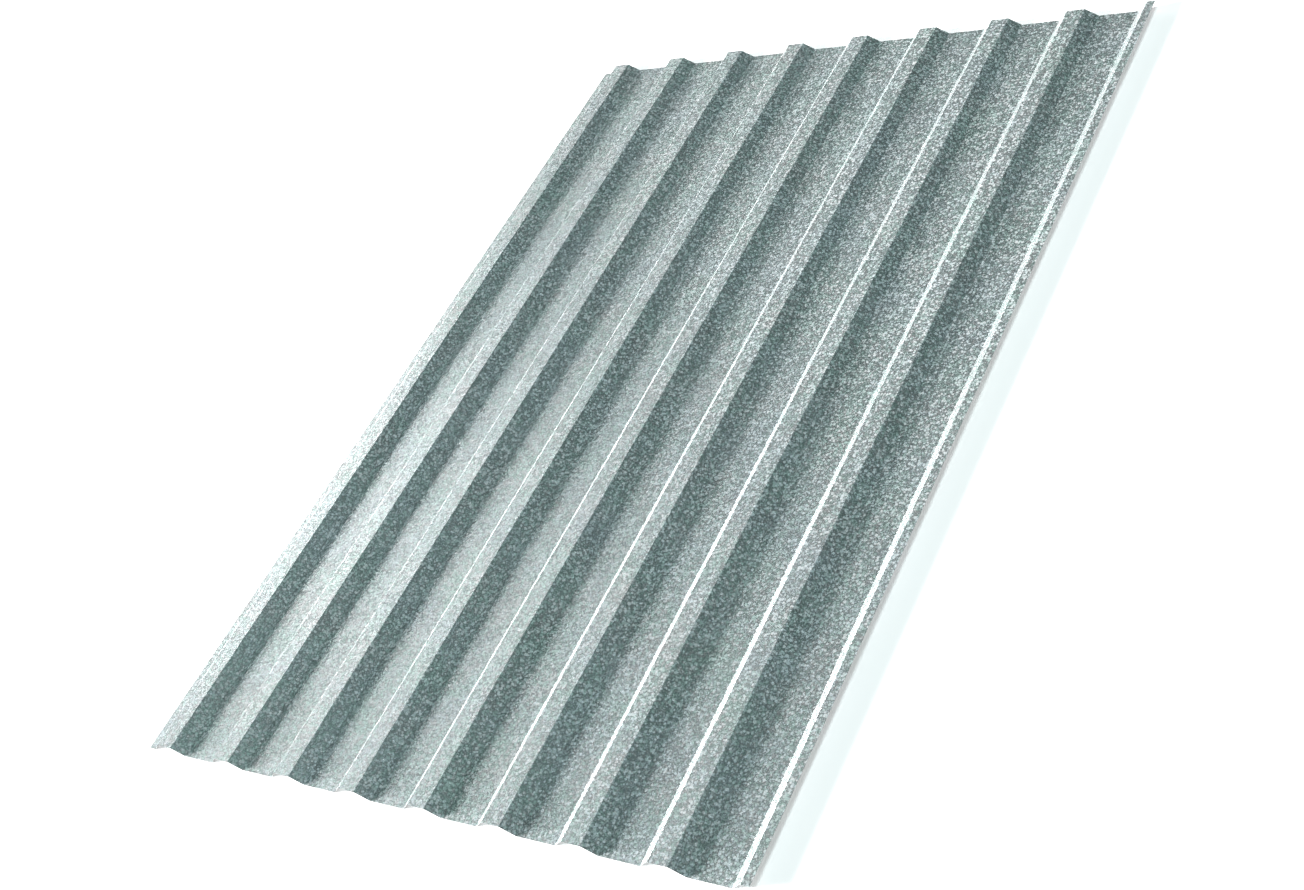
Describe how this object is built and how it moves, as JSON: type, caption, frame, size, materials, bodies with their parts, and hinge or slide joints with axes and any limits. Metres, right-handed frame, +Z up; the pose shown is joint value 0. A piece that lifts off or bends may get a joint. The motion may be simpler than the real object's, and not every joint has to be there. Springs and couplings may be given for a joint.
{
  "type": "trapezoidal corrugated metal sheet",
  "caption": "Flat-lying sheet of galvanized steel, roll-formed with trapezoidal ribs, a flat flange along one side and a half-crown lap lip along the other.",
  "frame": {"origin": "middle of the sheet's footprint, on the plane its valleys rest on", "axes": "+X across the ribs towards the lap lip, +Y along the ribs, +Z up out of the ribs"},
  "size_m": [1.15, 1.6, 0.017],
  "materials": {
    "galvanized_steel": "satin hot-dip zinc with a fine spangle"
  },
  "bodies": {
    "root": {"corrugated_sheet": "galvanized_steel"}
  },
  "joints": []
}
